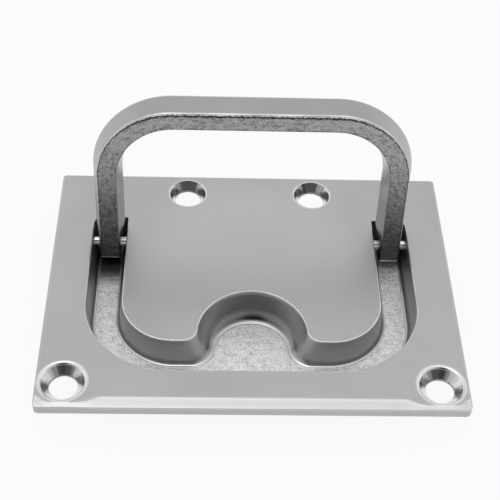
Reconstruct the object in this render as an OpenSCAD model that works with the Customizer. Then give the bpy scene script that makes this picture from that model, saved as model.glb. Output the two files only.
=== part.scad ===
// Flush lift handle: a cast plate with a U-shaped recess, and a hinged bail that folds level with it.
// Origin: centre of the plate in plan, at the bottom of the trough. +Z is up, -Y is the finger side.

/* [Plate] */
// Width of the plate, left to right
plate_w = 100; // [92:0.5:130]
// Depth of the plate, front to back
plate_d = 75; // [70:0.5:110]
// Thickness of the plate
plate_t = 2.9; // [2.2:0.1:4]
// Radius of the plate's corners seen from above
plate_corner_r = 1.6; // [0.5:0.1:5]
// Width of the polished roll along the front edge
front_roll_w = 3; // [1:0.1:3.5]
// Width of the roll along the other three edges
side_roll_w = 1.1; // [0.4:0.1:2]
// Height that the front roll falls
front_roll_drop = 0.6; // [0.2:0.1:1]
// Height that the other rolls fall
side_roll_drop = 0.4; // [0.2:0.1:0.8]

/* [Screw holes] */
// Distance between the two front holes
front_hole_span = 86.6; // [82:0.2:100]
// Distance between the two back holes
back_hole_span = 33; // [14:0.5:60]
// Distance of the front holes from the plate's front edge
front_hole_inset = 6.4; // [6.2:0.1:6.8]
// Distance of the back holes from the plate's back edge
back_hole_inset = 6.4; // [6.2:0.1:6.6]
// Diameter of the screw holes
screw_hole_d = 6.6; // [4:0.1:6.8]
// Diameter of the countersinks at the plate's surface
countersink_d = 9.8; // [8:0.1:10]
// Radius of the soft polished lip round each countersink
countersink_lip = 0.9; // [0.3:0.1:1.1]

/* [Recess] */
// Depth of the recess below the plate's surface
recess_depth = 7.7; // [7.4:0.1:9]
// Thickness of the recess floor
floor_t = 2.1; // [1.5:0.1:3]
// Thickness of the trough's walls
wall_t = 2.1; // [1.6:0.1:2.6]
// Gap between the folded bail and the recess's outer wall, at the surface
outer_gap = 0.65; // [0.5:0.05:1]
// Gap between the folded bail's legs and the island, at the surface
island_gap = 0.65; // [0.5:0.05:1]
// Gap between the folded bail's grip and the island's front edge, at the surface
grip_gap = 0.6; // [0.5:0.1:1]
// Inward lean of the recess walls from the surface to the floor
wall_draft = 0.9; // [0.4:0.1:1.2]
// Radius where the walls meet the floor
floor_fillet = 0.9; // [0.4:0.1:1]
// Radius of the worn edge round the recess and the island
edge_round = 0.45; // [0.2:0.05:0.6]
// Distance from the hinge pins back to the end of each slot
slot_tail = 5.8; // [5.7:0.1:7]

/* [Finger dish] */
// Radius of the dish at the surface
dish_r = 13.1; // [10:0.1:14]
// Radius of the dish's flat floor
dish_floor_r = 8.9; // [6:0.1:9.5]
// Distance of the dish's centre behind the island's front edge
dish_set_back = 2.5; // [0:0.1:3]
// Radius of the two horns where the dish meets the island's front edge
horn_r = 3.8; // [2:0.1:4.5]

/* [Bail] */
// Width of the bail over its legs, on the polished face
bail_w = 79.5; // [78:0.5:86]
// Length of the bail from the pin to the outside of the grip, on the polished face
bail_reach = 42.5; // [41:0.5:48]
// Thickness of the bail
bail_t = 6.7; // [5.8:0.1:6.8]
// Width of each leg on the rough face
leg_w = 4.4; // [4:0.1:4.8]
// Width of the grip on the rough face
grip_w = 4.2; // [4:0.1:5]
// Outside corner radius of the bail on the polished face
bail_corner_r = 20.2; // [16:0.2:22]
// Taper of the outside from the rough face to the polished face
outer_taper = 1.5; // [0.8:0.1:1.6]
// Taper of the inside from the rough face to the polished face
inner_taper = 1.4; // [0.8:0.1:1.6]
// Radius of the edges of the polished face
polished_edge_r = 0.8; // [0.3:0.1:1.2]
// Radius of the edges of the rough face
rough_edge_r = 0.5; // [0.2:0.1:0.8]
// Length of each leg behind the pin, on the rough face
toe_length = 2.8; // [2.2:0.1:3]
// Angle that the bail opens to, from folded flat
open_angle = 99; // [85:1:105]

/* [Hinge] */
// Diameter of the hinge pins
pin_d = 2.5; // [2:0.1:2.8]
// Distance of the pins behind the plate's centre line
pin_y = 16.2; // [15:0.1:17]
// Depth of the pins' centre line below the plate's surface
pin_depth = 3.1; // [3:0.1:3.3]
// Gap all round between a pin and the hole in the bail
pin_clearance = 0.06; // [0.03:0.01:0.09]
// Metal left between a pin's blind end and the outside of the trough
pin_blind = 0.7; // [0.4:0.1:1]
// Chamfer on the pins' ends
pin_chamfer = 0.3; // [0.1:0.05:0.5]

/* [Hidden] */
$fn = 64;

// Heights, measured up from the bottom of the trough
top_z = recess_depth + floor_t;
floor_z = floor_t;
plate_under_z = top_z - plate_t;
pin_z = top_z - pin_depth;
pin_r = pin_d / 2;

// The recess follows the folded bail at the given gaps
recess_half_w = bail_w / 2 + outer_gap;
recess_front_y = pin_y - bail_reach - outer_gap;
recess_back_y = pin_y + slot_tail;
recess_corner_r = bail_corner_r + outer_gap / 2;
recess_back_r = wall_draft + floor_fillet + 0.3;
island_half_w = bail_w / 2 - outer_taper - leg_w - inner_taper - island_gap;
island_front_y = pin_y - bail_reach + outer_taper + grip_w + inner_taper + grip_gap;
island_corner_r = bail_corner_r - outer_taper - leg_w - inner_taper + grip_gap / 2 - island_gap / 2;
dish_y = island_front_y + dish_set_back;
// Length by which cutting shapes run past the surfaces that they cut
past = 1;

// Steps along the curves
corner_steps = 14;
horn_steps = 6;
dish_steps = 24;
edge_steps = 3;
wall_steps = 3;
roll_steps = 8;

// Points along an arc about c, from angle a0 to a1
function arc(c, r, a0, a1, steps) =
    [for (i = [0 : steps]) let (a = a0 + (a1 - a0) * i / steps) c + r * [cos(a), sin(a)]];

// A list of points without its first and its last, which its neighbours already hold
function inner_points(points) = [for (i = [1 : len(points) - 2]) points[i]];

// One corner of a polygon, rounded between its two neighbours
function rounded_corner(a, p, b, r, steps) =
    let (u = (a - p) / norm(a - p), v = (b - p) / norm(b - p), half = acos(u * v) / 2,
         centre = p + (u + v) / norm(u + v) * r / sin(half),
         from = p + u * r / tan(half) - centre, to = p + v * r / tan(half) - centre,
         a0 = atan2(from[1], from[0]), turn = atan2(to[1], to[0]) - a0,
         sweep = turn > 180 ? turn - 360 : turn < -180 ? turn + 360 : turn)
    arc(centre, r, a0, a0 + sweep, steps);

// A polygon with each corner rounded to its own radius
function rounded_polygon(points, radii, steps) =
    let (n = len(points))
    [for (i = [0 : n - 1])
        each rounded_corner(points[(i + n - 1) % n], points[i], points[(i + 1) % n], radii[i], steps)];

// Edge of the island's front between its two corners, from left to right: a horn, the dish, a horn.
// The channel is wider by o on every side, r is the dish's radius, and k is the share of the steps.
function mouth(o, r, k) =
    let (f = horn_r - o, y = island_front_y + horn_r, rise = y - dish_y,
         x = sqrt(pow(r + f, 2) - rise * rise), tilt = atan2(rise, x))
    concat(
        arc([-x, y], f, 270, 360 - tilt, k * horn_steps),
        inner_points(arc([0, dish_y], r, 180 - tilt, tilt, k * dish_steps)),
        arc([x, y], f, 180 + tilt, 270, k * horn_steps));

// Outer side of the U-shaped channel, from its left back corner round the front to its right one
function outer_side(o, r, k) =
    let (corner = [recess_half_w - recess_corner_r, recess_front_y + recess_corner_r],
         back = [recess_half_w - recess_back_r, recess_back_y - recess_back_r])
    concat(
        arc([-back[0], back[1]], recess_back_r + o, 90, 180, 2),
        arc([-corner[0], corner[1]], recess_corner_r + o, 180, 270, k * corner_steps),
        [for (p = mouth(o, r, k)) [p[0], recess_front_y - o]],
        arc(corner, recess_corner_r + o, 270, 360, k * corner_steps),
        arc(back, recess_back_r + o, 0, 90, 2));

// Inner side of the channel and the dish, from left to right, with as many points as the outer side
function inner_side(o, r, k) =
    let (corner = [island_half_w - island_corner_r, island_front_y + island_corner_r],
         side = island_half_w - o, back = recess_back_y + o)
    concat(
        [for (i = [0 : 2]) [-side, back - i * recess_back_r]],
        arc([-corner[0], corner[1]], island_corner_r - o, 180, 270, k * corner_steps),
        mouth(o, r, k),
        arc(corner, island_corner_r - o, 270, 360, k * corner_steps),
        [for (i = [2 : -1 : 0]) [side, back - i * recess_back_r]]);

// Outline of the channel and the dish together, seen from above
function channel_outline(o, r, k) =
    let (inner = inner_side(o, r, k), n = len(inner))
    concat(outer_side(o, r, k), [for (i = [1 : n]) inner[n - i]]);

// Radius of the dish's bowl at a depth below the surface, a quarter ellipse that ends flat on the floor
function dish_radius(depth) =
    let (k = min(1, max(0, depth / recess_depth)))
    dish_floor_r + (dish_r - dish_floor_r) * sqrt(1 - k * k);

// Lean of the walls at a depth below the surface
function lean(depth) = wall_draft * min(1, max(0, depth / recess_depth));

// The recess from above the surface down to its floor: [depth, growth of the channel, dish radius]
function recess_rings() =
    let (foot = recess_depth - floor_fillet)
    concat(
        [[-past, edge_round, dish_r + edge_round]],
        [for (i = [0 : edge_steps]) let (a = 90 - 90 * i / edge_steps, g = edge_round * (1 - cos(a)))
            [edge_round * (1 - sin(a)), g, dish_r + g]],
        [for (i = [1 : wall_steps]) let (d = edge_round + (foot - edge_round) * i / wall_steps)
            [d, -lean(d), dish_radius(d)]],
        [for (i = [1 : edge_steps]) let (a = 90 * i / edge_steps, d = foot + floor_fillet * sin(a))
            [d, -lean(d) - floor_fillet * (1 - cos(a)), dish_radius(d)]]);

// A solid through a stack of outlines that all have the same number of points, from the top down. The
// first half of each outline is one side and the last half the other, and the caps join the two.
module loft(rings) {
    n = len(rings[0]);
    last = (len(rings) - 1) * n;
    points = [for (ring = rings) each ring];
    sides = [for (k = [0 : len(rings) - 2], i = [0 : n - 1]) let (a = k * n + i, b = k * n + (i + 1) % n)
        each [[a, b, a + n], [b, b + n, a + n]]];
    caps = [for (i = [0 : n / 2 - 2]) let (a = n - 1 - i, b = n - 2 - i)
        each [[b, i + 1, i], [a, b, i], [last + i, last + i + 1, last + b], [last + i, last + b, last + a]]];
    polyhedron(points = points, faces = concat(sides, caps));
}

// An outline lifted to a height
function at_z(outline, z) = [for (p = outline) [p[0], p[1], z]];

// Profile across the plate, with its two top edges rolled
function plate_profile(span, roll_a, drop_a, roll_b, drop_b) = concat(
    [[-span / 2, plate_under_z], [span / 2, plate_under_z]],
    [for (i = [0 : roll_steps]) let (a = 90 * i / roll_steps)
        [span / 2 - roll_b * (1 - cos(a)), top_z - drop_b * (1 - sin(a))]],
    [for (i = [0 : roll_steps]) let (a = 90 - 90 * i / roll_steps)
        [-span / 2 + roll_a * (1 - cos(a)), top_z - drop_a * (1 - sin(a))]]);

module plate() {
    intersection() {
        rotate([90, 0, 0])
            linear_extrude(plate_d + 2 * past, center = true)
                polygon(plate_profile(plate_w, side_roll_w, side_roll_drop, side_roll_w, side_roll_drop));
        rotate([90, 0, 90])
            linear_extrude(plate_w + 2 * past, center = true)
                polygon(plate_profile(plate_d, front_roll_w, front_roll_drop, side_roll_w, side_roll_drop));
        translate([0, 0, plate_under_z - past])
            linear_extrude(plate_t + 2 * past)
                polygon(rounded_polygon(
                    [[-plate_w, -plate_d] / 2, [plate_w, -plate_d] / 2, [plate_w, plate_d] / 2,
                     [-plate_w, plate_d] / 2], [for (i = [0 : 3]) plate_corner_r], roll_steps));
    }
}

// The trough under the plate: the channel and the dish, thicker by the wall on every side
module trough() {
    bend = floor_t / 2;
    rings = concat(
        [for (d = [plate_t / 2, recess_depth, top_z - bend]) [wall_t - lean(d), top_z - d]],
        [for (i = [1 : 3]) let (a = 30 * i) [wall_t - wall_draft - bend * (1 - cos(a)), bend * (1 - sin(a))]]);
    loft([for (ring = rings) at_z(channel_outline(ring[0], dish_r + ring[0], 1 / 2), ring[1])]);
}

// The space that is open to the surface: the U-shaped channel and the finger dish
module recess_space() {
    loft([for (ring = recess_rings()) at_z(channel_outline(ring[1], ring[2], 1), top_z - ring[0])]);
}

// A countersunk screw hole with a soft lip, cut down from the surface
module screw_hole() {
    hole_r = screw_hole_d / 2;
    sink_r = countersink_d / 2;
    rotate_extrude()
        polygon(concat(
            [[0, top_z + past], [0, plate_under_z - past], [hole_r, plate_under_z - past],
             [hole_r, top_z - (sink_r - hole_r) - countersink_lip / 4]],
            arc([sink_r + countersink_lip, top_z - countersink_lip], countersink_lip, 150, 90, edge_steps),
            [[sink_r + countersink_lip, top_z + past]]));
}

// Both ends of the hinge line, at x and at -x
module both_sides() {
    children();
    mirror([1, 0, 0])
        children();
}

// The hole in the body for one pin, blind in the trough's outer wall
module pin_hole() {
    translate([pin_inner_x - past, pin_y, pin_z])
        rotate([0, 90, 0])
            cylinder(r = pin_r, h = pin_outer_x - pin_inner_x + past);
}

// The pins end flush in the trough's inner wall
pin_inner_x = island_half_w + lean(pin_depth + pin_r) - wall_t;
pin_outer_x = recess_half_w - lean(pin_depth) + wall_t - pin_blind;

module body() {
    color("silver")
        difference() {
            union() {
                plate();
                trough();
            }
            recess_space();
            for (side = [-1, 1]) {
                translate([side * front_hole_span / 2, front_hole_inset - plate_d / 2, 0])
                    screw_hole();
                translate([side * back_hole_span / 2, plate_d / 2 - back_hole_inset, 0])
                    screw_hole();
            }
            both_sides()
                pin_hole();
        }
}

// The bail's rough face lies below the pin's axis and its polished face above, when it is folded
rough_e = pin_depth - bail_t;
polished_e = pin_depth;
rough_half_w = bail_w / 2 - outer_taper;
rough_reach = bail_reach - outer_taper;
rough_corner_r = bail_corner_r - outer_taper;
// The heel meets the recess floor when the bail is fully open
heel_gap = 0.06;
heel_s = (heel_gap - (pin_z - floor_z) - polished_e * cos(open_angle)) / sin(open_angle);
toe_s = -toe_length;

// The bail's section: how far out from the rough face's outer edge, and how high
function bail_section(w) = rounded_polygon(
    [[0, rough_e], [outer_taper, polished_e], [-w - inner_taper, polished_e], [-w, rough_e]],
    [rough_edge_r, polished_edge_r, polished_edge_r, rough_edge_r], edge_steps);

// The section set at point p of the U, facing outwards along n
function bail_ring(p, n, w) = [for (q = bail_section(w)) let (r = p + q[0] * n) [r[0], -r[1], q[1]]];

// Rings along the U from the left leg's end to the right one's
function bail_rings() =
    let (c = [rough_half_w - rough_corner_r, rough_reach - rough_corner_r], end_s = heel_s - past)
    concat(
        [bail_ring([-rough_half_w, end_s], [-1, 0], leg_w)],
        [for (i = [0 : corner_steps]) let (a = 180 - 90 * i / corner_steps, n = [cos(a), sin(a)])
            bail_ring([-c[0], c[1]] + rough_corner_r * n, n,
                      leg_w + (grip_w - leg_w) * i / corner_steps)],
        [for (i = [0 : corner_steps]) let (a = 90 - 90 * i / corner_steps, n = [cos(a), sin(a)])
            bail_ring(c + rough_corner_r * n, n, grip_w + (leg_w - grip_w) * i / corner_steps)],
        [bail_ring([rough_half_w, end_s], [1, 0], leg_w)]);

// Side view of the bail's ends, cut back under the toe and left long at the heel
module end_profile() {
    far = -bail_reach - past;
    polygon(rounded_polygon(
        [[far, rough_e - past], [far, polished_e + past], [-heel_s, polished_e + past],
         [-heel_s, polished_e], [-toe_s, rough_e], [-toe_s - past, rough_e - past]],
        [0.1, 0.1, 0.1, 0.1, 0.1, 0.1], 1));
}

// Plan of the flank that is ground off each leg beside the pin, so that it turns freely in its slot
module flank_relief(start_x, edge_x) {
    relief_top = 6;
    relief_bottom = 0.5;
    away = edge_x > start_x ? edge_x + 2 * past : edge_x - 2 * past;
    translate([0, 0, rough_e - past])
        linear_extrude(bail_t + 2 * past)
            polygon([[start_x, -heel_s + 3 * past], [start_x, -relief_bottom], [edge_x, -relief_top],
                     [away, -relief_top], [away, -heel_s + 3 * past]]);
}

module bail() {
    flank = 0.7;
    color("gray")
        translate([0, pin_y, pin_z])
            rotate([-open_angle, 0, 0])
                difference() {
                    intersection() {
                        loft(bail_rings());
                        rotate([90, 0, 90])
                            linear_extrude(bail_w + 2 * past, center = true)
                                end_profile();
                    }
                    both_sides() {
                        flank_relief(rough_half_w + flank, bail_w / 2);
                        flank_relief(rough_half_w - leg_w, rough_half_w - leg_w - inner_taper);
                    }
                    rotate([0, 90, 0])
                        cylinder(r = pin_r + pin_clearance, h = bail_w + 2 * past, center = true);
                }
}

// A plain pin with chamfered ends, lying along +X
module pin() {
    length = pin_outer_x - pin_inner_x;
    translate([pin_inner_x, pin_y, pin_z])
        rotate([0, 90, 0])
            rotate_extrude()
                polygon([[0, 0], [pin_r - pin_chamfer, 0], [pin_r, pin_chamfer],
                         [pin_r, length - pin_chamfer], [pin_r - pin_chamfer, length], [0, length]]);
}

module pin_right() {
    color("gainsboro")
        pin();
}

module pin_left() {
    color("gainsboro")
        mirror([1, 0, 0])
            pin();
}

body();
bail();
pin_left();
pin_right();
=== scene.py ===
"""A flush lift handle: cast plate with a U-shaped recess and a finger dish, and a bail standing open."""
import logging
import math
from dataclasses import dataclass, field
from enum import Enum
from typing import Callable, Sequence

import bmesh
import bpy
import numpy as np
from mathutils import Matrix, Vector
from mathutils.geometry import delaunay_2d_cdt


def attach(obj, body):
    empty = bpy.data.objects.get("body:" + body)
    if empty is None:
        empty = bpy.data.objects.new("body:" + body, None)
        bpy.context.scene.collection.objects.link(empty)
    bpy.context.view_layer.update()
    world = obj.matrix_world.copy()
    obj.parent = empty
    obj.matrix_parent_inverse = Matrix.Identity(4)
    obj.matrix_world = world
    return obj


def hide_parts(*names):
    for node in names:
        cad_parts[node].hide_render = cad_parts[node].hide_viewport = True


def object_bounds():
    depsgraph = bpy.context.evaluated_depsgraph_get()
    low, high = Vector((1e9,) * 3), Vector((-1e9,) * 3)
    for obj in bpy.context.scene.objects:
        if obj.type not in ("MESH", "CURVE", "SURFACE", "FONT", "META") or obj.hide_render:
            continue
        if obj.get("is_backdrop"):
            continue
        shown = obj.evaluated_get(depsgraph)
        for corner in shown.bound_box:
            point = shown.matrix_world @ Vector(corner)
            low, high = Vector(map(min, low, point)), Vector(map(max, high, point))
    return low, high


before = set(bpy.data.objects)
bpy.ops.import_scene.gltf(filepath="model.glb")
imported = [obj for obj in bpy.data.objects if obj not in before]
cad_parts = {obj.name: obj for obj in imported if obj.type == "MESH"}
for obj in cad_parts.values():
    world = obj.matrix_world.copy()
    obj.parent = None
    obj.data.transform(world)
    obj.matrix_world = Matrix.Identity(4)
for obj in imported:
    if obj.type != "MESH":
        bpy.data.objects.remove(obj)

log = logging.getLogger("lift_handle")
MM = 0.001
SEAM = 0.0004
WHITE = (1.0, 1.0, 1.0, 1.0)
Array = np.ndarray
Outline = np.ndarray
Piece = bpy.types.Object
Material = bpy.types.Material
Socket = bpy.types.NodeSocket
Point2 = tuple[float, float]
Point3 = tuple[float, float, float]
Span = tuple[float, float]
Rule = Callable[[Array], Array]


class Zone(Enum):
    """Point attributes that tell the finishes apart, each from 0 to 1."""

    CAST = "cast"
    WALL = "wall"
    POLISH = "polish"
    # Besides the bores, this zone carries painted shade in the countersinks and down the recess walls.
    BORE = "bore"


def smooth(x: Array | float, low: float, high: float) -> Array:
    """Ease from 0 at low to 1 at high.

    Args:
        x: Values to ease.
        low: Value at which the result leaves 0.
        high: Value at which the result reaches 1.

    Returns:
        Eased values from 0 to 1.
    """
    t = np.clip((np.asarray(x, float) - low) / (high - low), 0.0, 1.0)
    return t * t * (3.0 - 2.0 * t)


def arc(centre: Point2, radius: float, start: float, end: float, steps: int) -> Outline:
    """Points along an arc, both ends included.

    Args:
        centre: Centre of the arc.
        radius: Its radius.
        start: First angle in degrees.
        end: Last angle in degrees.
        steps: Number of equal steps.

    Returns:
        Array of steps + 1 points.
    """
    a = np.radians(np.linspace(start, end, steps + 1))
    return np.column_stack([centre[0] + radius * np.cos(a), centre[1] + radius * np.sin(a)])


def line(a: Point2, b: Point2, steps: int) -> Outline:
    """Points along a straight line, both ends included."""
    t = np.linspace(0.0, 1.0, steps + 1)[:, None]
    return np.asarray(a, float) * (1 - t) + np.asarray(b, float) * t


def lift(flat: Outline, z: float | Array) -> Array:
    """Give points seen from above a height, or one height each."""
    return np.column_stack([flat, np.broadcast_to(z, len(flat))])


def inside(points: Array, outline: Outline) -> Array:
    """Tell which points lie inside a closed outline.

    Args:
        points: Array of x and y.
        outline: Corners of the outline in order.

    Returns:
        One boolean for each point.
    """
    x, y = points[:, 0], points[:, 1]
    result = np.zeros(len(points), bool)
    for (x0, y0), (x1, y1) in zip(outline, np.roll(outline, -1, axis=0)):
        if y0 == y1:
            continue
        crosses = (y0 > y) != (y1 > y)
        result ^= crosses & (x < (x1 - x0) * (y - y0) / (y1 - y0) + x0)
    return result


def add_object(name: str, data: bpy.types.ID) -> Piece:
    """Make an object and link it to the scene.

    Args:
        name: Its name.
        data: Its mesh, lamp or camera.

    Returns:
        The object.
    """
    obj = bpy.data.objects.new(name, data)
    bpy.context.scene.collection.objects.link(obj)
    return obj


def bake(obj: Piece) -> None:
    """Apply the modifiers of a piece and leave it a plain mesh.

    Args:
        obj: The piece.
    """
    depsgraph = bpy.context.evaluated_depsgraph_get()
    mesh = bpy.data.meshes.new_from_object(obj.evaluated_get(depsgraph))
    obj.modifiers.clear()
    obj.data = mesh


@dataclass
class Shell:
    """A closed surface gathered from strips and patches, in millimetres."""

    points: list[Array] = field(default_factory=list)
    zones: list[Array] = field(default_factory=list)
    faces: list[tuple[int, ...]] = field(default_factory=list)
    count: int = 0

    def add(self, points: Array, zones: Array) -> int:
        """Store points with their zones.

        Args:
            points: Array of x, y and z.
            zones: One row of zones for all points, or one for each.

        Returns:
            Index of the first stored point.
        """
        self.points.append(np.asarray(points, float))
        self.zones.append(np.broadcast_to(np.asarray(zones, float), (len(points), len(Zone))).copy())
        self.count += len(points)
        return self.count - len(points)

    def strip(self, rows: Sequence[Array], zones: Sequence[Sequence[float]] | Array) -> None:
        """Join closed rows of points that all have the same length by quads.

        Args:
            rows: Rows of x, y and z.
            zones: Zones of each row, or of each point of each row.
        """
        n = len(rows[0])
        z = np.asarray(zones, float)
        first = self.count
        for k, row in enumerate(rows):
            self.add(row, z[k])
        for k in range(len(rows) - 1):
            a, b = first + k * n, first + (k + 1) * n
            self.faces += [(a + i, a + (i + 1) % n, b + (i + 1) % n, b + i) for i in range(n)]

    def patch(self, loops: Sequence[Outline], extra: Array, height: Rule | float,
              zones: Rule | Sequence[float]) -> None:
        """Triangulate a flat region and lift it to a height field.

        Args:
            loops: The region's outline, and then those of its openings.
            extra: Further points inside the region.
            height: Height of all points, or a rule that gives it.
            zones: Zones of all points, or a rule that gives them.
        """
        edges = []
        start = 0
        for loop in loops:
            n = len(loop)
            edges += [(start + i, start + (i + 1) % n) for i in range(n)]
            start += n
        every = np.vstack([*loops, extra])
        verts, _, tris, *_ = delaunay_2d_cdt([Vector(p) for p in every], edges, [], 0, 1e-7)
        xy = np.array([(v.x, v.y) for v in verts])
        tri = np.array([t for t in tris if len(t) == 3])
        middles = xy[tri].mean(axis=1)
        kept = inside(middles, loops[0])
        for opening in loops[1:]:
            kept &= ~inside(middles, opening)
        tri = tri[kept]
        used, order = np.unique(tri, return_inverse=True)
        xy = xy[used]
        z = height(xy) if callable(height) else height
        first = self.add(lift(xy, z), zones(xy) if callable(zones) else zones)
        self.faces += [tuple(t) for t in (first + order.reshape(-1, 3)).tolist()]

    def build(self, name: str) -> Piece:
        """Merge the seams, turn the faces outwards and make an object.

        Args:
            name: Name of the object.

        Returns:
            The object, at the origin, in metres.
        """
        points = np.vstack(self.points)
        zones = np.vstack(self.zones)
        mesh = bpy.data.meshes.new(name)
        mesh.from_pydata((points * MM).tolist(), [], self.faces)
        for k, zone in enumerate(Zone):
            layer = mesh.attributes.new(zone.value, "FLOAT", "POINT")
            layer.data.foreach_set("value", zones[:, k].astype(np.float32))
        bm = bmesh.new()
        bm.from_mesh(mesh)
        bmesh.ops.remove_doubles(bm, verts=bm.verts, dist=SEAM * MM)
        bmesh.ops.dissolve_degenerate(bm, edges=bm.edges, dist=1e-8)
        bmesh.ops.recalc_face_normals(bm, faces=bm.faces)
        loose = sum(1 for e in bm.edges if not e.is_manifold)
        if bm.calc_volume(signed=True) < 0:
            bmesh.ops.reverse_faces(bm, faces=bm.faces)
        for face in bm.faces:
            face.smooth = True
        bm.to_mesh(mesh)
        bm.free()
        mesh.validate()
        obj = add_object(name, mesh)
        log.info("%s: %d faces, %d open edges", name, len(mesh.polygons), loose)
        return obj


@dataclass
class NodeTree:
    """A small helper that adds nodes to a tree and joins them."""

    tree: bpy.types.NodeTree

    @classmethod
    def of(cls, owner: Material | bpy.types.World) -> "NodeTree":
        """Turn on the nodes of a material or a world and return a helper for them."""
        owner.use_nodes = True
        return cls(owner.node_tree)

    def feed(self, node: bpy.types.Node, inputs: dict[str | int, object]) -> None:
        """Set a node's inputs.

        Args:
            node: The node.
            inputs: Values or output sockets for its inputs.
        """
        for key, value in inputs.items():
            if isinstance(value, Socket):
                self.tree.links.new(value, node.inputs[key])
            else:
                node.inputs[key].default_value = value

    def node(self, kind: str, inputs: dict[str | int, object] | None = None,
             **settings: object) -> bpy.types.Node:
        """Add a node.

        Args:
            kind: The node's type name.
            inputs: Values or output sockets for its inputs.
            settings: Properties of the node.

        Returns:
            The new node.
        """
        made = self.tree.nodes.new(kind)
        for key, value in settings.items():
            setattr(made, key, value)
        self.feed(made, inputs or {})
        return made

    def math(self, operation: str, *values: object) -> Socket:
        """Add a maths node and return its output."""
        return self.node("ShaderNodeMath", dict(enumerate(values)), operation=operation).outputs[0]

    def noise(self, place: Socket, scale: float, detail: float,
              rough: float = 0.5) -> Socket:
        """Add a noise texture and return its value."""
        return self.node("ShaderNodeTexNoise", {"Vector": place, "Scale": scale, "Detail": detail,
                                                "Roughness": rough}).outputs[0]

    def ramp(self, value: object, low: float, high: float, to_low: float = 0.0,
             to_high: float = 1.0) -> Socket:
        """Map a value smoothly from one range to another."""
        ends = {"Value": value, "From Min": low, "From Max": high, "To Min": to_low, "To Max": to_high}
        return self.node("ShaderNodeMapRange", ends, interpolation_type="SMOOTHSTEP").outputs["Result"]

    def blend(self, factor: object, a: object, b: object) -> Socket:
        """Mix two colours."""
        return self.node("ShaderNodeMix", {0: factor, 6: a, 7: b}, data_type="RGBA").outputs[2]

    def mix(self, factor: object, a: object, b: object) -> Socket:
        """Mix two numbers."""
        return self.node("ShaderNodeMix", {0: factor, 2: a, 3: b}).outputs[0]


def grey(value: float) -> tuple[float, float, float, float]:
    """A neutral colour with a faint coolness, as of stainless steel."""
    return (value * 0.995, value, value * 1.004, 1.0)


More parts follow.
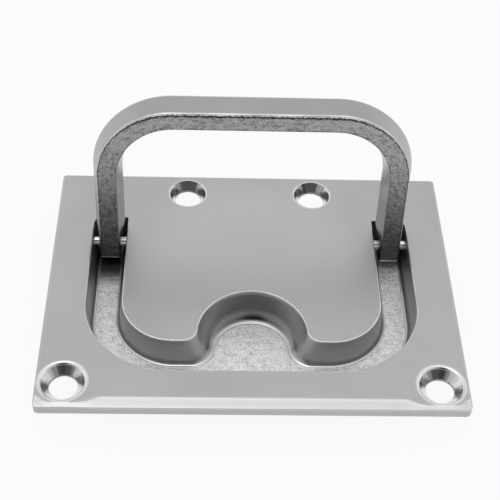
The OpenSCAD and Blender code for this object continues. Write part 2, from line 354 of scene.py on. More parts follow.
@dataclass(frozen=True)
class SteelFinish:
    """Stainless steel whose look goes by the zone: ground, polished, smooth wall or rough as cast.

    Some tones follow the place on the part and not the zone alone, because the photograph shows them so:
    painted shade darkens the rough face toward the plate and the recess toward the hinge, and painted
    light lightens the ground face round the island. Their spans are in metres.
    """

    name: str
    ground: float = 0.5
    ground_rough: float = 0.4
    polished: float = 0.8
    polished_rough: float = 0.1
    cast: float = 0.5
    cast_dark: float = 0.22
    cast_rough: float = 0.5
    specks: float = 0.45
    border: float = 0.5
    pebbles: float = 0.6
    # Painted shade: how dark the rough face is painted toward the plate.
    shade_patch: float = 0.0
    # Painted shade: how dark the recess is painted toward the hinge.
    shade: float = 0.0
    # Painted light: how much the ground face is lightened round the island.
    island_painted_light: float = 1.0
    wall: float = 0.4
    wall_rough: float = 0.36
    bore: float = 0.4
    bore_rough: float = 0.14
    grain: float = 0.35
    # Tone of the painted shade in the recess, and of the dark marks along the cast zone's border.
    shade_and_border_tone: float = 0.04
    # Tone of the painted shade on the rough face.
    shade_patch_tone: float = 0.05
    island_middle: Point3 = (0.0, 0.003, 0.01)
    island_painted_light_span: Span = (0.036, 0.022)
    wall_span: Span = (-0.004, 0.011)
    floor_span: Span = (0.004, 0.0105)
    left_span: Span = (0.01, -0.01)
    shade_patch_span: Span = (0.042, 0.007)

    def build(self) -> Material:
        """Make the material.

        Returns:
            The material, which reads the zones' attributes and Object coordinates.
        """
        material = bpy.data.materials.new(self.name)
        t = NodeTree.of(material)
        place = t.node("ShaderNodeTexCoord").outputs["Object"]
        zone = {z: t.node("ShaderNodeAttribute", attribute_name=z.value).outputs["Fac"] for z in Zone}
        pit = t.node("ShaderNodeAttribute", attribute_name="pit").outputs["Fac"]
        cloud = t.noise(place, 55.0, 3.0)
        fine = t.noise(place, 2600.0, 4.0, 0.65)
        grit = t.noise(place, 1100.0, 5.0, 0.6)
        pebble = t.noise(place, 2300.0, 2.0)
        ground = t.blend(t.ramp(cloud, 0.35, 0.65), grey(self.ground * 0.97), grey(self.ground * 1.03))
        # Painted light: the ground face is lightened round the island.
        middle = t.node("ShaderNodeVectorMath", {0: place, 1: self.island_middle}, operation="DISTANCE")
        near = t.ramp(middle.outputs["Value"], *self.island_painted_light_span)
        ground = t.blend(near, ground, grey(self.ground * self.island_painted_light))
        specks = t.ramp(grit, 0.44, 0.3, 0.0, self.specks)
        light = grey(min(1.0, self.cast * 1.1))
        bright = t.blend(t.ramp(pebble, 0.36, 0.64), grey(self.cast * 0.88), light)
        # The deepest pits get painted shade; random specks darken the cast face too.
        cast = t.blend(t.math("ADD", pit, specks), bright, grey(self.cast_dark))
        across, along, height = t.node("ShaderNodeSeparateXYZ", {0: place}).outputs
        # Painted shade: the recess walls darken toward the hinge.
        wall = t.blend(t.ramp(along, *self.wall_span, 0.0, self.shade), grey(self.wall), grey(self.shade_and_border_tone))
        # Painted shade: the rough face darkens toward the plate.
        shade_patch = t.ramp(height, *self.shade_patch_span, 0.0, self.shade_patch)
        cast = t.blend(shade_patch, cast, grey(self.shade_patch_tone))
        # Painted shade: the recess floor darkens toward the hinge, on the left half only.
        left = t.ramp(across, *self.left_span)
        shade = t.math("MULTIPLY", t.ramp(along, *self.floor_span, 0.0, self.shade), left)
        cast = t.blend(shade, cast, grey(self.shade_and_border_tone))
        colour, rough = ground, t.math("ADD", self.ground_rough, t.ramp(cloud, 0.3, 0.7, -0.02, 0.03))
        for z, tone, dullness in ((Zone.POLISH, grey(self.polished), self.polished_rough),
                                  (Zone.WALL, wall, self.wall_rough),
                                  (Zone.BORE, grey(self.bore), self.bore_rough),
                                  (Zone.CAST, cast, self.cast_rough)):
            colour = t.blend(zone[z], colour, tone)
            rough = t.mix(zone[z], rough, dullness)
        rest = t.math("SUBTRACT", 1.0, zone[Zone.CAST])
        border = t.math("MULTIPLY", t.math("MULTIPLY", zone[Zone.CAST], rest), self.border * 4)
        border = t.math("MULTIPLY", border, t.ramp(zone[Zone.WALL], 0.0, 0.3, 1.0, 0.0))
        border = t.math("MULTIPLY", border, t.ramp(grit, 0.38, 0.58, 1.0, 0.45))
        colour = t.blend(border, colour, grey(self.shade_and_border_tone))
        bump = t.node("ShaderNodeBump", {"Height": fine, "Distance": 0.00002, "Strength": self.grain})
        bump = t.node("ShaderNodeBump", {"Height": t.math("MULTIPLY", pebble, zone[Zone.CAST]),
                                         "Distance": 0.0003, "Strength": self.pebbles,
                                         "Normal": bump.outputs[0]})
        t.feed(t.tree.nodes["Principled BSDF"], {"Base Color": colour, "Roughness": rough, "Metallic": 1.0,
                                                 "Normal": bump.outputs[0]})
        return material


@dataclass(frozen=True)
class PinFinish:
    """Bright drawn steel of the hinge pins."""

    name: str = "pin steel"
    tone: float = 0.86
    rough: float = 0.18

    def build(self) -> Material:
        """Make the material.

        Returns:
            The material, which reads Object coordinates.
        """
        material = bpy.data.materials.new(self.name)
        t = NodeTree.of(material)
        place = t.node("ShaderNodeTexCoord").outputs["Object"]
        stretch = t.node("ShaderNodeMapping", {"Vector": place, "Scale": (8.0, 1.0, 1.0)}).outputs[0]
        lines = t.noise(stretch, 900.0, 2.0)
        colour = t.blend(t.ramp(lines, 0.4, 0.6), grey(self.tone * 0.94), grey(self.tone))
        rough = t.ramp(lines, 0.3, 0.7, self.rough, self.rough + 0.08)
        t.feed(t.tree.nodes["Principled BSDF"], {"Base Color": colour, "Roughness": rough, "Metallic": 1.0})
        return material


@dataclass
class CastSkin:
    """Geometry Nodes that press the pits and lumps of a rough casting into the zone of that name."""

    lump_size: float
    lump_depth: float
    grain_size: float
    grain_depth: float
    seed: float = 3.0

    def sizes(self) -> dict[str, float]:
        """Sizes in metres and the seed, by the names of the tree's inputs."""
        return {"Lump size": self.lump_size * MM, "Lump depth": self.lump_depth * MM,
                "Grain size": self.grain_size * MM, "Grain depth": self.grain_depth * MM, "Seed": self.seed}

    def tree(self) -> bpy.types.NodeTree:
        """Build the node group.

        Returns:
            The group, with its sizes in metres as named inputs.
        """
        group = bpy.data.node_groups.new("cast skin", "GeometryNodeTree")
        face = group.interface
        kinds = {"Geometry": "NodeSocketGeometry", **dict.fromkeys(self.sizes(), "NodeSocketFloat"),
                 "Finish": "NodeSocketMaterial"}
        for name, kind in kinds.items():
            face.new_socket(name, in_out="INPUT", socket_type=kind)
        face.new_socket("Geometry", in_out="OUTPUT", socket_type="NodeSocketGeometry")
        t = NodeTree(group)
        given = t.node("NodeGroupInput").outputs
        zone = t.node("GeometryNodeInputNamedAttribute", {"Name": Zone.CAST.value}, data_type="FLOAT")
        place = t.node("GeometryNodeInputPosition").outputs[0]
        normal = t.node("GeometryNodeInputNormal").outputs[0]

        def noise(size: str, detail: float) -> Socket:
            """Noise whose feature size an input gives."""
            wanted = {"Vector": place, "W": given["Seed"], "Scale": t.math("DIVIDE", 1.0, given[size]),
                      "Detail": detail, "Roughness": 0.55}
            return t.node("ShaderNodeTexNoise", wanted, noise_dimensions="4D").outputs[0]

        lumps = t.ramp(noise("Lump size", 1.0), 0.3, 0.7)
        grains = t.ramp(noise("Grain size", 2.0), 0.32, 0.68)
        depth = t.math("MULTIPLY", lumps, given["Lump depth"])
        depth = t.math("MULTIPLY_ADD", grains, given["Grain depth"], depth)
        depth = t.math("MULTIPLY", depth, zone.outputs[0])
        whole = t.math("ADD", given["Lump depth"], given["Grain depth"])
        inwards = t.math("MULTIPLY", depth, -1.0)
        shift = t.node("ShaderNodeVectorMath", {0: normal, "Scale": inwards}, operation="SCALE")
        moved = t.node("GeometryNodeSetPosition",
                       {"Geometry": given["Geometry"], "Offset": shift.outputs[0]})
        # How deep each point is pressed in, which the finish uses for painted shade in the pits.
        pit = t.ramp(t.math("DIVIDE", depth, whole), 0.45, 0.95)
        stored = t.node("GeometryNodeStoreNamedAttribute",
                        {"Geometry": moved.outputs[0], "Name": "pit", "Value": pit}, data_type="FLOAT")
        real = t.node("GeometryNodeRealizeInstances", {"Geometry": stored.outputs[0]})
        dressed = t.node("GeometryNodeSetMaterial",
                         {"Geometry": real.outputs[0], "Material": given["Finish"]})
        t.node("NodeGroupOutput", {"Geometry": dressed.outputs[0]})
        return group

    def press(self, obj: Piece, finish: Material) -> None:
        """Apply the skin to a piece and leave it a plain mesh.

        Args:
            obj: The piece, with the zone's attribute.
            finish: The material that it gets.
        """
        group = self.tree()
        modifier = obj.modifiers.new("cast skin", "NODES")
        modifier.node_group = group
        values = {**self.sizes(), "Finish": finish}
        for item in group.interface.items_tree:
            if item.in_out == "INPUT" and item.name in values:
                modifier[item.identifier] = values[item.name]
        bpy.context.view_layer.update()
        bake(obj)
        bpy.data.node_groups.remove(group)


@dataclass
class ScrewHole:
    """A countersunk screw hole with a soft polished lip."""

    x: float
    y: float
    bore_r: float = 3.35
    sink_r: float = 4.75
    lip: float = 0.85
    cone: float = 2.3

    @property
    def rim(self) -> float:
        """Radius at which the lip meets the flat of the plate."""
        return self.sink_r + self.lip

    def reach(self, xy: Array) -> Array:
        """Distance of points from the hole's axis."""
        return np.hypot(xy[:, 0] - self.x, xy[:, 1] - self.y)

    def drop(self, r: Array) -> Array:
        """Depth of the countersink below the plate's surface at a radius.

        Args:
            r: Distances from the axis.

        Returns:
            Depths, 0 outside the rim.
        """
        bend = self.rim - self.lip * math.cos(math.radians(30))
        cone = self.lip / 2 + (self.cone - self.lip / 2) * (bend - r) / (bend - self.bore_r)
        out = np.clip(self.rim - r, 0.0, self.lip)
        curve = self.lip - np.sqrt(self.lip ** 2 - out ** 2)
        return np.where(r < bend, np.minimum(cone, self.cone), curve)

    def streaks(self, xy: Array) -> Array:
        """Dull marks that run down the cone, and painted shade on its far side.

        Args:
            xy: Points seen from above.

        Returns:
            Dullness from 0 to 1, by the angle round the axis.
        """
        a = np.arctan2(xy[:, 1] - self.y, xy[:, 0] - self.x)
        wave = np.sin(5 * a + self.x) + 0.8 * np.sin(11 * a + 2 * self.y)
        wave += 0.7 * np.sin(23 * a + self.x * self.y)
        # Painted shade on the cone's far side.
        shade_patch = np.exp(-((a - math.pi / 2 - 0.05) / 0.62) ** 2)
        return np.clip(0.05 * wave + shade_patch * (1.5 + 0.2 * wave), 0, 1)

    def ring(self, radius: float) -> Outline:
        """Points round the hole at a radius."""
        return arc((self.x, self.y), radius, 0, 360, 120)[:-1]


@dataclass
class CastBody:
    """The plate, its recess and the trough below it, as one casting."""

    width: float = 100.0
    depth: float = 75.0
    plate_t: float = 2.9
    corner_r: float = 1.2
    front_roll: Span = (3.0, 0.38)
    side_roll: Span = (0.6, 0.25)
    top_z: float = 9.8
    recess_depth: float = 7.7
    wall_t: float = 2.1
    wall_draft: float = 0.9
    fillet: float = 0.9
    edge: float = 0.32
    recess_half_w: float = 40.4
    recess_front_y: float = -26.95
    recess_back_y: float = 22.0
    recess_corner_r: float = 20.525
    recess_back_r: float = 2.1
    island_half_w: float = 31.8
    island_front_y: float = -18.6
    island_corner_r: float = 12.875
    dish_y: float = -16.1
    dish_r: float = 13.1
    dish_floor_r: float = 8.9
    horn_r: float = 3.8
    under_scale: Span = (0.9990, 0.9987)
    wall_share: float = 0.22
    holes: tuple[ScrewHole, ...] = (ScrewHole(-43.75, -30.5, lip=1.05), ScrewHole(43.5, -30.7, lip=1.05),
                                    ScrewHole(-16.5, 31.1, sink_r=4.6, lip=0.35),
                                    ScrewHole(16.5, 31.1, sink_r=4.6, lip=0.35))
    # The plate gets painted shade in the recess toward the hinge and painted light round the island.
    finish: SteelFinish = SteelFinish("plate steel", cast=0.92, cast_dark=0.66, specks=0.2, polished=0.8,
                                      polished_rough=0.19, wall=0.23, bore=0.12, pebbles=0.5, shade=0.95,
                                      island_painted_light=1.1)
    shell: Shell = field(default_factory=Shell)

    @property
    def under_z(self) -> float:
        """Height of the plate's underside."""
        return self.top_z - self.plate_t

    @property
    def floor_z(self) -> float:
        """Height of the recess floor."""
        return self.top_z - self.recess_depth

    def mouth(self, grow: float, dish: float) -> Outline:
        """Island's front edge between its corners: a horn, the dish, a horn.

        Args:
            grow: How much the channel is widened on every side.
            dish: The dish's radius.

        Returns:
            Points from left to right.
        """
        f = self.horn_r - grow
        y = self.island_front_y + self.horn_r
        rise = y - self.dish_y
        x = math.sqrt((dish + f) ** 2 - rise * rise)
        tilt = math.degrees(math.atan2(rise, x))
        return np.vstack([arc((-x, y), f, 270, 360 - tilt, 16),
                          arc((0, self.dish_y), dish, 180 - tilt, tilt, 72)[1:-1],
                          arc((x, y), f, 180 + tilt, 270, 16)])

    def outline(self, grow: float, dish: float) -> Outline:
        """Outline of the channel and the dish together, seen from above.

        Args:
            grow: How much the channel is widened on every side.
            dish: The dish's radius.

        Returns:
            Points, the outer side first and then the inner side backwards.
        """
        mouth = self.mouth(grow, dish)
        cx, cy = self.recess_half_w - self.recess_corner_r, self.recess_front_y + self.recess_corner_r
        bx, by = self.recess_half_w - self.recess_back_r, self.recess_back_y - self.recess_back_r
        r, rb = self.recess_corner_r + grow, self.recess_back_r + grow
        left = np.vstack([arc((-bx, by), rb, 90, 180, 8), line((-bx - rb, by), (-cx - r, cy), 28)[1:-1],
                          arc((-cx, cy), r, 180, 270, 44)])
        right = left[::-1] * (-1, 1)
        front = np.column_stack([mouth[:, 0], np.full(len(mouth), self.recess_front_y - grow)])
        ix, iy = self.island_half_w - self.island_corner_r, self.island_front_y + self.island_corner_r
        side, back = self.island_half_w - grow, self.recess_back_y + grow
        knee = back - 2 * self.recess_back_r
        inner_left = np.vstack([line((-side, back), (-side, knee), 8),
                                line((-side, knee), (-side, iy), 28)[1:-1],
                                arc((-ix, iy), self.island_corner_r - grow, 180, 270, 44)])
        inner_right = inner_left[::-1] * (-1, 1)
        inner = np.vstack([inner_left, mouth, inner_right])
        return np.vstack([left, front, right, inner[::-1]])

    def channel(self, grow: float) -> Outline:
        """Outline with the channel and the dish both widened."""
        return self.outline(grow, self.dish_r + grow)

    def bores(self) -> list[Outline]:
        """Outlines of the screw holes' bores."""
        return [hole.ring(hole.bore_r) for hole in self.holes]

    def lean(self, depth: float) -> float:
        """Lean of the walls at a depth below the surface."""
        return self.wall_draft * min(1.0, depth / self.recess_depth)

    def dish_at(self, depth: float) -> float:
        """Radius of the dish at a depth below the surface."""
        k = min(1.0, depth / self.recess_depth)
        return self.dish_floor_r + (self.dish_r - self.dish_floor_r) * math.sqrt(1 - k * k)

    def recess_rings(self) -> list[tuple[float, float, float, tuple[float, ...]]]:
        """Rings down the recess's walls.

        Returns:
            Depth, growth of the channel, dish radius and zones of each ring.
        """
        rings = []
        for i in range(7):
            a = math.radians(90 - 15 * i)
            grow = self.edge * (1 - math.cos(a))
            rings.append((self.edge * (1 - math.sin(a)), grow, self.dish_r + grow,
                          (0.0, 0.15 * i / 6, 0.9 - 0.5 * i / 6, 0.0)))
        foot = self.recess_depth - self.fillet
        for i in range(1, 13):
            d = self.edge + (foot - self.edge) * i / 12
            rings.append((d, -self.lean(d), self.dish_at(d),
                          (0.1 * float(smooth(i, 6, 12)), min(1.0, i / 2), 0.0, 0.0)))
        for i in range(1, 9):
            a = math.radians(90 * i / 8)
            d = foot + self.fillet * math.sin(a)
            rings.append((d, -self.lean(d) - self.fillet * (1 - math.cos(a)), self.dish_at(d),
                          (float(i == 8), 1.0 - i / 8, min(1.0, max(0.0, (i - 2) / 4)), 0.0)))
        return rings

    def plate_loop(self, t: float) -> Outline:
        """Loop round the plate, drawn in from its edge by a share of the rolls' widths.

        Args:
            t: Share of the rolls, 0 at the plate's edge.

        Returns:
            Points of the loop, counter-clockwise from above.
        """
        front, side = self.front_roll[0] * t, self.side_roll[0] * t
        hx, hy = self.width / 2 - side, self.depth / 2
        corners = []
        for start, sx, sy, inset in ((270, 1, -1, front), (0, 1, 1, side), (90, -1, 1, side),
                                     (180, -1, -1, front)):
            rx, ry = max(self.corner_r - side, 0.1), max(self.corner_r - inset, 0.1)
            cx, cy = sx * (hx - rx), sy * (hy - inset - ry)
            a = np.radians(np.linspace(start, start + 90, 11))
            corners.append(np.column_stack([cx + rx * np.cos(a), cy + ry * np.sin(a)]))
        loop = []
        for k, corner in enumerate(corners):
            nxt = corners[(k + 1) % 4]
            steps = 110 if k % 2 else 84
            loop += [corner, line(tuple(corner[-1]), tuple(nxt[0]), steps)[1:-1]]
        return np.vstack(loop)

    def roll_drop(self, xy: Array) -> Array:
        """Fall of the plate's surface at its rolled edges.

        Args:
            xy: Points seen from above.

        Returns:
            Depth below the flat of the plate.
        """
        def fall(d: Array, roll: Span) -> Array:
            """Fall at a distance from one edge."""
            u = np.clip(1 - d / roll[0], 0, 1)
            return roll[1] * (0.9 * u ** 1.08 + 0.1 * (1 - np.sqrt(1 - u ** 14)))

        x, y = np.abs(xy[:, 0]), xy[:, 1]
        side = fall(self.width / 2 - x, self.side_roll)
        back = fall(self.depth / 2 - y, self.side_roll)
        pad = smooth(x, 34.5, 40.0) * (1 - smooth(x, 46.5, 49.5))
        front = fall((self.depth / 2 + y) * (1 + 1.3 * pad), self.front_roll) * (1 - 0.45 * pad)
        return (side ** 3 + back ** 3 + front ** 3) ** (1 / 3)

    def top_height(self, xy: Array) -> Array:
        """Height of the plate's upper surface with its rolls and countersinks.

        Args:
            xy: Points seen from above.

        Returns:
            Their heights.
        """
        drop = self.roll_drop(xy) ** 4
        for hole in self.holes:
            drop = drop + hole.drop(hole.reach(xy)) ** 4
        return self.top_z - drop ** 0.25

    def top_zones(self, xy: Array) -> Array:
        """Zones of the plate's upper surface: polished rolls and countersinks, ground between.

        Args:
            xy: Points seen from above.

        Returns:
            One column for each Zone.
        """
        drop = self.roll_drop(xy)
        front = 1 - smooth(xy[:, 1], -34.6, -34.2)
        fade = 1 - 0.4 * smooth(drop, 0.04, 0.12) - 0.5 * smooth(drop, 0.3, 0.4)
        polish = smooth(drop, 0.0, 0.03) * (0.15 + 0.85 * front) * fade
        bore = np.zeros(len(xy))
        for hole in self.holes:
            r = hole.reach(xy)
            polish = np.maximum(polish, 1 - smooth(r, hole.rim - 0.1, hole.rim + 0.3))
            cone = 1 - smooth(r, hole.sink_r + 0.1, hole.sink_r + 0.4)
            # The cone takes the dark bore tone in streaks and as painted shade on its far side.
            bore = np.maximum(bore, cone * (0.08 + 0.92 * hole.streaks(xy)))
        zero = np.zeros(len(xy))
        return np.column_stack([zero, zero, polish, bore])

    @staticmethod
    def grid(low: Point2, high: Point2, step: float) -> Array:
        """Staggered points over a rectangle.

        Args:
            low: Lower left corner.
            high: Upper right corner.
            step: Distance between neighbours.

        Returns:
            Array of x and y.
        """
        rows = []
        for k, y in enumerate(np.arange(low[1], high[1], step * 0.866)):
            x = np.arange(low[0] + (k % 2) * step / 2, high[0], step)
            rows.append(np.column_stack([x, np.full(len(x), y)]))
        return np.vstack(rows)

    def add_top(self) -> None:
        """Add the plate's upper surface."""
        loops = [self.plate_loop(1 - math.cos(math.radians(a))) for a in np.linspace(0, 90, 11)]
        loops.append(self.plate_loop(1.08))
        points = np.vstack([*loops[1:], self.channel(self.edge + 0.12), self.channel(self.edge + 0.4),
                            self.grid((-48, -34), (48, 36), 3.0)])
        clear = ~inside(points, self.channel(self.edge + 0.1))
        for hole in self.holes:
            clear &= hole.reach(points) > hole.rim + 0.45
        points = points[clear]
        rings = []
        for hole in self.holes:
            radii = np.linspace(hole.bore_r, hole.rim, 22)[1:]
            rings += [hole.ring(float(r)) for r in (*radii, hole.rim + 0.12, hole.rim + 0.35)]
        around = np.vstack(rings)
        around = around[(np.abs(around[:, 0]) < self.width / 2 - 0.05)
                        & (np.abs(around[:, 1]) < self.depth / 2 - 0.02)]
        self.shell.patch([loops[0], self.channel(self.edge), *self.bores()], np.vstack([points, around]),
                         self.top_height, self.top_zones)

    def add_recess(self) -> None:
        """Add the recess's walls and its floor."""
        rings = self.recess_rings()
        rows, zones = [], []
        for d, grow, dish, zone in rings:
            flat = self.outline(grow, dish)
            x, y = flat.T
            rows.append(lift(flat, self.top_z - d))
            # The walls count as smooth for a share only, but in full in the middle of the dish.
            dull = (1 - smooth(np.abs(x), 5, 12.5)) * smooth(y, -22, -18)
            dull = (1 - self.wall_share) * dull * (1 - smooth(y, 10, 15))
            each = np.tile(zone, (len(flat), 1))
            # Painted shade: the walls darken toward the floor, and deep in the middle of the dish, through
            # the bore zone's dark tone.
            deep_shade = 0.5 * dull * smooth(d, 2.5, 6.4) + 0.4 * smooth(d, 6.1, 6.8)
            each[:, 3] = deep_shade * (1 - smooth(d, 7.35, 7.6))
            each[:, 2] *= 1 - 0.85 * smooth(y, 2, 10)
            each[:, 2] *= 1 - 0.45 * smooth(d, 6, 7) * smooth(y, -21, -18)
            each[:, 1] *= self.wall_share + dull
            zones.append(each)
        self.shell.strip(rows, np.array(zones))
        _, grow, dish, _ = rings[-1]
        floor = self.outline(grow, dish)
        points = self.grid((-40, -27), (40, 22), 0.34)
        points = points[inside(points, self.outline(grow - 0.14, dish - 0.14))]
        self.shell.patch([floor], points, self.floor_z, (1.0, 0.0, 0.0, 0.0))

    def add_edge(self) -> None:
        """Add the plate's four sides."""
        loop = self.plate_loop(0)
        top = self.top_height(loop)
        rows = [lift(loop, top)]
        for t in (0.12, 0.35, 0.65, 0.9):
            rows.append(lift(loop, top * (1 - t) + (self.under_z + 0.15) * t))
        rows.append(lift(loop, self.under_z + 0.1))
        rows.append(lift(loop * self.under_scale, self.under_z))
        self.shell.strip(rows, [(0, 0, 0.1, 0), (0, 0.1, 0.2, 0), (0, 0.15, 0, 0), (0, 0.15, 0, 0),
                                (0.1, 0.15, 0, 0), (0.2, 0.1, 0, 0), (0.6, 0, 0, 0)])

    def add_underside(self) -> None:
        """Add the plate's underside, the trough's outside and the screw holes' bores."""
        skin = (0.6, 0.3, 0.0, 0.0)
        outer = self.plate_loop(0) * self.under_scale
        bend = self.floor_z
        rings = [(self.wall_t - self.lean(d), self.top_z - d)
                 for d in (self.plate_t, self.recess_depth, self.top_z - bend / 2)]
        for i in range(1, 7):
            a = math.radians(15 * i)
            rings.append((self.wall_t - self.wall_draft - bend / 2 * (1 - math.cos(a)),
                          bend / 2 * (1 - math.sin(a))))
        rows = [lift(self.channel(grow), z) for grow, z in rings]
        self.shell.strip(rows, [skin] * len(rows))
        trough, foot = rows[0][:, :2], rows[-1][:, :2]
        points = self.grid((-49.5, -37), (49.5, 37), 1.1)
        clear = inside(points, outer * 0.99) & ~inside(points, self.channel(rings[0][0] + 0.3))
        for hole in self.holes:
            clear &= hole.reach(points) > hole.bore_r + 0.4
        self.shell.patch([outer, trough, *self.bores()], points[clear], self.under_z, skin)
        low = self.grid((-42, -30), (42, 25), 1.1)
        low = low[inside(low, self.channel(rings[-1][0] - 0.3))]
        self.shell.patch([foot], low, 0.0, skin)
        for ring in self.bores():
            high = self.top_height(ring)
            self.shell.strip([lift(ring, high * (1 - t) + self.under_z * t) for t in (0, 0.5, 1)],
                             [(0, 0, 0, 0.7)] * 3)

    def build(self) -> Piece:
        """Make the casting, press its rough skin and dress it.

        Returns:
            The finished piece.
        """
        self.add_top()
        self.add_recess()
        self.add_edge()
        self.add_underside()
        obj = self.shell.build("plate_casting")
        skin = CastSkin(lump_size=1.9, lump_depth=0.05, grain_size=0.48, grain_depth=0.06)
        skin.press(obj, self.finish.build())
        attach(obj, "base")
        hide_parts("body")
        return obj


@dataclass
class Bail:
    """The hinged handle: a tapered U with relieved legs, rough below and ground round the outside."""

    pivot_y: float = 16.2
    pivot_z: float = 6.7
    half_w: float = 38.35
    reach: float = 41.0
    corner_r: float = 18.7
    leg_w: float = 4.75
    grip_w: float = 4.5
    outer_taper: float = 1.5
    inner_taper: float = 1.4
    rough_e: float = -3.6
    polished_e: float = 3.1
    rough_edge: float = 0.34
    polished_edge: float = 0.8
    heel_s: float = -4.106
    toe_s: float = -2.8
    end_round: float = 0.42
    flank: float = 0.7
    flare: float = 0.05
    relief: Span = (0.5, 6.0)
    bore_r: float = 1.31
    open_angle: float = 99.0
    # The bail's rough face gets painted shade toward the plate.
    finish: SteelFinish = SteelFinish("bail steel", ground=0.43, ground_rough=0.36, cast=0.5,
                                      cast_dark=0.27, cast_rough=0.46, specks=0.3, border=1.8,
                                      shade_patch=0.72, polished=0.95, polished_rough=0.2, wall=0.46,
                                      wall_rough=0.28)

    def section(self, width: float, along: float = 0.0, lit: float = 0.0) -> tuple[Array, Array]:
        """Section across the bail.

        Args:
            width: Width of the rough face.
            along: Place along the bail, by which the rough face's outer border wavers.
            lit: How far the outer edge is worn bright, from 0 on the legs to 1 on the grip.

        Returns:
            Points as distance outwards and height, and their zones.
        """
        corners = [(0.0, self.rough_e), (self.outer_taper, self.polished_e),
                   (-width - self.inner_taper, self.polished_e), (-width, self.rough_e)]
        radii = [self.rough_edge, self.polished_edge, self.polished_edge, self.rough_edge]
        steps = [14, 14, 14, 26]
        arcs = []
        for k in range(4):
            p, a, b = (np.array(corners[i % 4]) for i in (k, k + 3, k + 1))
            u, v = (a - p) / np.linalg.norm(a - p), (b - p) / np.linalg.norm(b - p)
            half = math.acos(float(u @ v)) / 2
            centre = p + (u + v) / np.linalg.norm(u + v) * radii[k] / math.sin(half)
            start, end = (p + w * radii[k] / math.tan(half) - centre for w in (u, v))
            a0 = math.degrees(math.atan2(start[1], start[0]))
            turn = (math.degrees(math.atan2(end[1], end[0])) - a0 + 180) % 360 - 180
            arcs.append(arc(tuple(centre), radii[k], a0, a0 + turn, 5))
        points = []
        for k in range(4):
            points += [arcs[k], line(tuple(arcs[k][-1]), tuple(arcs[(k + 1) % 4][0]), steps[k])[1:-1]]
        q = np.vstack(points)
        out, up = q.T
        low = 1 - smooth(up, self.rough_e + 0.1, self.rough_e + 0.3)
        waver = 0.1 * (math.sin(2.3 * along) + math.sin(5.1 * along + 1) + math.sin(9.7 * along + 2)) / 2
        cast = low * (1 - smooth(out, -0.35 - 0.85 * lit ** 3 + waver, -0.15 + waver))
        cast *= smooth(out, -width - 0.02, -width + 0.06)
        polish = smooth(up, self.polished_e - 0.9, self.polished_e - 0.35)
        polish *= (1 - smooth(up, self.polished_e - 0.1, self.polished_e))
        rim = 1 - smooth(up, self.rough_e + 0.35, self.rough_e + 0.6)
        rim *= smooth(out, -0.6 + waver, -0.22 + waver)
        rim *= (0.1 + 0.9 * lit ** 4) * (0.75 + 0.25 * math.sin(0.5 * along + 3 * waver))
        polish = np.maximum(polish, rim)
        inner = 1 - smooth(out, -width * 0.8, -width * 0.5)
        wall = inner * (1 - cast) * (1 - smooth(up, self.polished_e - 0.4, self.polished_e))
        return q, np.column_stack([cast, wall, polish, np.zeros(len(q))])

    def stations(self) -> list[tuple[float, float, float, float, float]]:
        """Stations along the left half of the bail, from the leg's end to the middle of the grip.

        Returns:
            Centre x and s of the rough face's outer edge, its outward direction, and the width.
        """
        cx, cs = self.half_w - self.corner_r, self.reach - self.corner_r
        lengths = (*np.linspace(0, 8, 36)[1:], *np.linspace(8, cs, 34)[1:])
        result = [(-self.half_w, float(s), -1.0, 0.0, self.leg_w) for s in lengths]
        for i in range(1, 73):
            a = math.radians(180 - 90 * i / 72)
            result.append((-cx + self.corner_r * math.cos(a), cs + self.corner_r * math.sin(a), math.cos(a),
                           math.sin(a), self.leg_w + (self.grip_w - self.leg_w) * i / 72))
        result += [(float(x), self.reach, 0.0, 1.0, self.grip_w) for x in np.linspace(-cx, 0, 42)[1:]]
        return result

    def leg_rows(self) -> list[Array]:
        """Rows of the left leg's slanted end, from its cap up to the pin.

        Returns:
            Rows of distance outwards, s and height.
        """
        q, _ = self.section(self.leg_w)
        share = (q[:, 1] - self.rough_e) / (self.polished_e - self.rough_e)
        end = self.toe_s + (self.heel_s - self.toe_s) * share
        centre = np.array([-self.leg_w / 2, (self.rough_e + self.polished_e) / 2])
        rows = []
        for a in np.radians((0, 30, 60, 90)):
            k = 1 - self.end_round * (1 - math.sin(a)) / 2.6
            inset = centre + (q - centre) * k
            up = self.end_round * (1 - math.cos(a))
            rows.append(np.column_stack([inset[:, 0], end + up, inset[:, 1]]))
        for t in np.linspace(0, 1, 20)[1:]:
            rows.append(np.column_stack([q[:, 0], (end + self.end_round) * (1 - t), q[:, 1]]))
        for row in rows:
            flare = self.flare * (1 - smooth(row[:, 1], self.toe_s, 1.0))
            row[:, 0] += np.where(row[:, 0] > -self.leg_w / 2, flare, -flare)
        return rows

    def relieve(self, q0: Array, s: Array, width: float) -> Array:
        """Draw the flanks in beside the pin, so that the leg turns freely in its slot.

        Args:
            q0: Distances outwards from the rough face's outer edge.
            s: Distances along the leg from the pin.
            width: Width of the rough face.

        Returns:
            Distances outwards that keep within the relief.
        """
        t = np.clip((s - self.relief[0]) / (self.relief[1] - self.relief[0]), 0, 1)
        spare = self.flare * (1 - smooth(s, self.toe_s, 1.0))
        return np.clip(q0, -width - spare - self.inner_taper * t,
                       self.flank + (self.outer_taper - self.flank) * t)

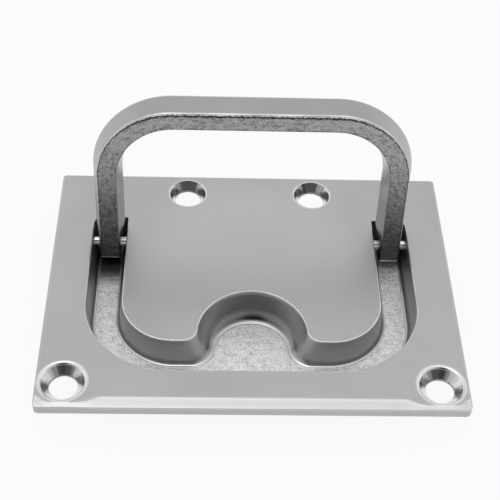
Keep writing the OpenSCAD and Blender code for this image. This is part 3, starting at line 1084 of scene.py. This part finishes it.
    def half(self) -> tuple[list[Array], list[Array]]:
        """Rows of the left half, folded flat with the pin at the origin.

        Returns:
            Rows of x, y and z, and their zones.
        """
        rows, zones = [], []
        _, zone = self.section(self.leg_w)
        for k, row in enumerate(self.leg_rows()):
            out = self.relieve(row[:, 0], row[:, 1], self.leg_w)
            rows.append(np.column_stack([-self.half_w - out, -row[:, 1], row[:, 2]]))
            zones.append(zone * (0, 1, 0, 1) + (0, 0, 1, 0) if k < 5 else zone)
        for k, (x, s, nx, ns, width) in enumerate(self.stations()):
            q, zone = self.section(width, 0.4 * k, ns)
            out = self.relieve(q[:, 0], np.full(len(q), s), width) if ns == 0 else q[:, 0]
            rows.append(np.column_stack([x + out * nx, -(s + out * ns), q[:, 1]]))
            zones.append(zone)
        return rows, zones

    def drill(self, obj: Piece) -> None:
        """Cut the two pin bores.

        Args:
            obj: The bail, folded flat with its pins at the origin.
        """
        mesh = bpy.data.meshes.new("bore")
        bm = bmesh.new()
        turn = Matrix.Rotation(math.radians(90), 4, "Y")
        radius = self.bore_r * MM
        bmesh.ops.create_cone(bm, cap_ends=True, segments=48, radius1=radius, radius2=radius, depth=90 * MM,
                              matrix=turn)
        bm.to_mesh(mesh)
        bm.free()
        cutter = add_object("bore", mesh)
        cut = obj.modifiers.new("bore", "BOOLEAN")
        cut.operation, cut.object, cut.solver = "DIFFERENCE", cutter, "EXACT"
        bake(obj)
        bpy.data.objects.remove(cutter)

    def build(self) -> Piece:
        """Make the bail folded flat, drill it, open it and dress it.

        Returns:
            The finished piece.
        """
        rows, zones = self.half()
        rows += [row * (-1, 1, 1) for row in rows[-2::-1]]
        zones += zones[-2::-1]
        shell = Shell()
        shell.strip(rows, zones)
        n = len(rows[0])
        last = (len(rows) - 1) * n
        shell.faces += [tuple(range(n)), tuple(range(last, last + n))]
        obj = shell.build("hinged_bail")
        self.drill(obj)
        place = Matrix.Translation((0, self.pivot_y * MM, self.pivot_z * MM))
        obj.data.transform(place @ Matrix.Rotation(math.radians(-self.open_angle), 4, "X"))
        skin = CastSkin(lump_size=1.3, lump_depth=0.1, grain_size=0.42, grain_depth=0.1, seed=8.0)
        skin.press(obj, self.finish.build())
        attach(obj, "handle")
        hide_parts("bail")
        return obj


@dataclass
class HingePins:
    """The two pins that the bail turns on, left as they come from the frame."""

    names: tuple[str, ...] = ("pin_left", "pin_right")
    finish: PinFinish = PinFinish()

    def dress(self) -> None:
        """Give the pins their bright finish."""
        material = self.finish.build()
        for name in self.names:
            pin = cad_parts[name]
            if not pin.material_slots:
                pin.data.materials.append(material)
            for place in pin.material_slots:
                place.material = material


@dataclass
class Studio:
    """A pale floor, a soft lamp, a plain sky of light and the camera."""

    camera_at: Point3 = (-0.0104816, -0.1834802, 0.2217564)
    camera_turn: Point3 = (42.5254, -2.0376, -0.7961)
    lens: float = 81.338
    zenith: float = 1.05
    back: float = 0.85
    front: float = 0.6
    dark: float = 0.06
    flanks: float = 0.15
    card_edge: Span = (0.88, 0.975)
    floor_tone: float = 0.86
    floor_glow: float = 0.9
    lamp_at: Point3 = (-0.12, 0.02, 0.8)
    lamp_size: float = 0.35
    lamp_power: float = 0.25

    def add_floor(self) -> None:
        """Add the floor, near white to the camera and in reflections, with the object's shadow."""
        mesh = bpy.data.meshes.new("floor")
        mesh.from_pydata([(-4, -4, 0), (4, -4, 0), (4, 4, 0), (-4, 4, 0)], [], [(0, 1, 2, 3)])
        floor = add_object("floor", mesh)
        material = bpy.data.materials.new("floor")
        t = NodeTree.of(material)
        t.tree.nodes.clear()
        path = t.node("ShaderNodeLightPath").outputs
        seen = t.math("MAXIMUM", path["Is Camera Ray"], path["Is Glossy Ray"])
        tone = self.floor_tone
        plain = t.node("ShaderNodeBsdfDiffuse", {"Color": (tone, tone, tone, 1)})
        glow = t.node("ShaderNodeEmission", {"Color": WHITE, "Strength": 1.0})
        share = t.math("MULTIPLY", seen, self.floor_glow)
        mixed = t.node("ShaderNodeMixShader", {0: share, 1: plain.outputs[0], 2: glow.outputs[0]})
        t.node("ShaderNodeOutputMaterial", {"Surface": mixed.outputs[0]})
        mesh.materials.append(material)
        floor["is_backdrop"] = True

    def add_sky(self) -> None:
        """Light from all round, brightest above, with a dark card toward the photograph's camera.

        Rays from the camera see plain white.
        """
        world = bpy.context.scene.world = bpy.data.worlds.new("studio")
        t = NodeTree.of(world)
        t.tree.nodes.clear()
        way = t.node("ShaderNodeTexCoord").outputs["Generated"]
        axes = t.node("ShaderNodeSeparateXYZ", {0: way}).outputs
        side = t.ramp(axes[1], -0.5, 0.25, self.front, self.back)
        level = t.mix(t.ramp(axes[2], 0.8, 0.98), side, self.zenith)
        flank = t.ramp(t.math("ABSOLUTE", axes[0]), 0.45, 0.9, 0.0, self.flanks)
        level = t.math("ADD", level, flank)
        card = Vector(self.camera_at).normalized()
        facing = t.node("ShaderNodeVectorMath", {0: way, 1: tuple(card)}, operation="DOT_PRODUCT")
        level = t.mix(t.ramp(facing.outputs["Value"], *self.card_edge), level, self.dark)
        light = t.node("ShaderNodeBackground", {"Color": WHITE, "Strength": level})
        white = t.node("ShaderNodeBackground", {"Color": WHITE, "Strength": 1.0})
        path = t.node("ShaderNodeLightPath").outputs
        mixed = t.node("ShaderNodeMixShader",
                       {0: path["Is Camera Ray"], 1: light.outputs[0], 2: white.outputs[0]})
        t.node("ShaderNodeOutputWorld", {"Surface": mixed.outputs[0]})

    def add_lamp(self) -> None:
        """Add a soft square lamp that faces the object."""
        data = bpy.data.lights.new("overhead", "AREA")
        data.shape, data.size, data.energy = "SQUARE", self.lamp_size, self.lamp_power
        lamp = add_object("overhead", data)
        lamp.location = self.lamp_at
        way = Vector((0, 0, 0.01)) - Vector(self.lamp_at)
        lamp.rotation_euler = way.to_track_quat("-Z", "Y").to_euler()

    def add_camera(self) -> None:
        """Place the camera where the photograph was taken from."""
        data = bpy.data.cameras.new("camera")
        data.lens, data.sensor_width, data.clip_start = self.lens, 36.0, 0.01
        camera = add_object("camera", data)
        camera.location = self.camera_at
        camera.rotation_euler = tuple(math.radians(a) for a in self.camera_turn)
        bpy.context.scene.camera = camera

    def build(self) -> None:
        """Set up the whole studio."""
        bpy.context.scene.view_settings.view_transform = "Standard"
        self.add_floor()
        self.add_sky()
        self.add_lamp()
        self.add_camera()


def save_size(moment: str, sizes: dict[str, object]) -> None:
    """Store the object's bounds under the moment's name.

    Args:
        moment: Name of the moment.
        sizes: Bounds gathered so far.
    """
    low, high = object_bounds()
    sizes[moment] = [list(low), list(high)]


def main() -> None:
    """Build and dress the lift handle, then set up the studio."""
    logging.basicConfig(level=logging.INFO, format="%(name)s: %(message)s")
    sizes: dict[str, object] = {}
    save_size("frame", sizes)
    body = CastBody().build()
    log.info("built %s", body.name)
    bail = Bail().build()
    log.info("built %s", bail.name)
    HingePins().dress()
    log.info("dressed the hinge pins")
    Studio().build()
    log.info("set up the studio")
    save_size("dressed", sizes)


if __name__ == "__main__":
    main()
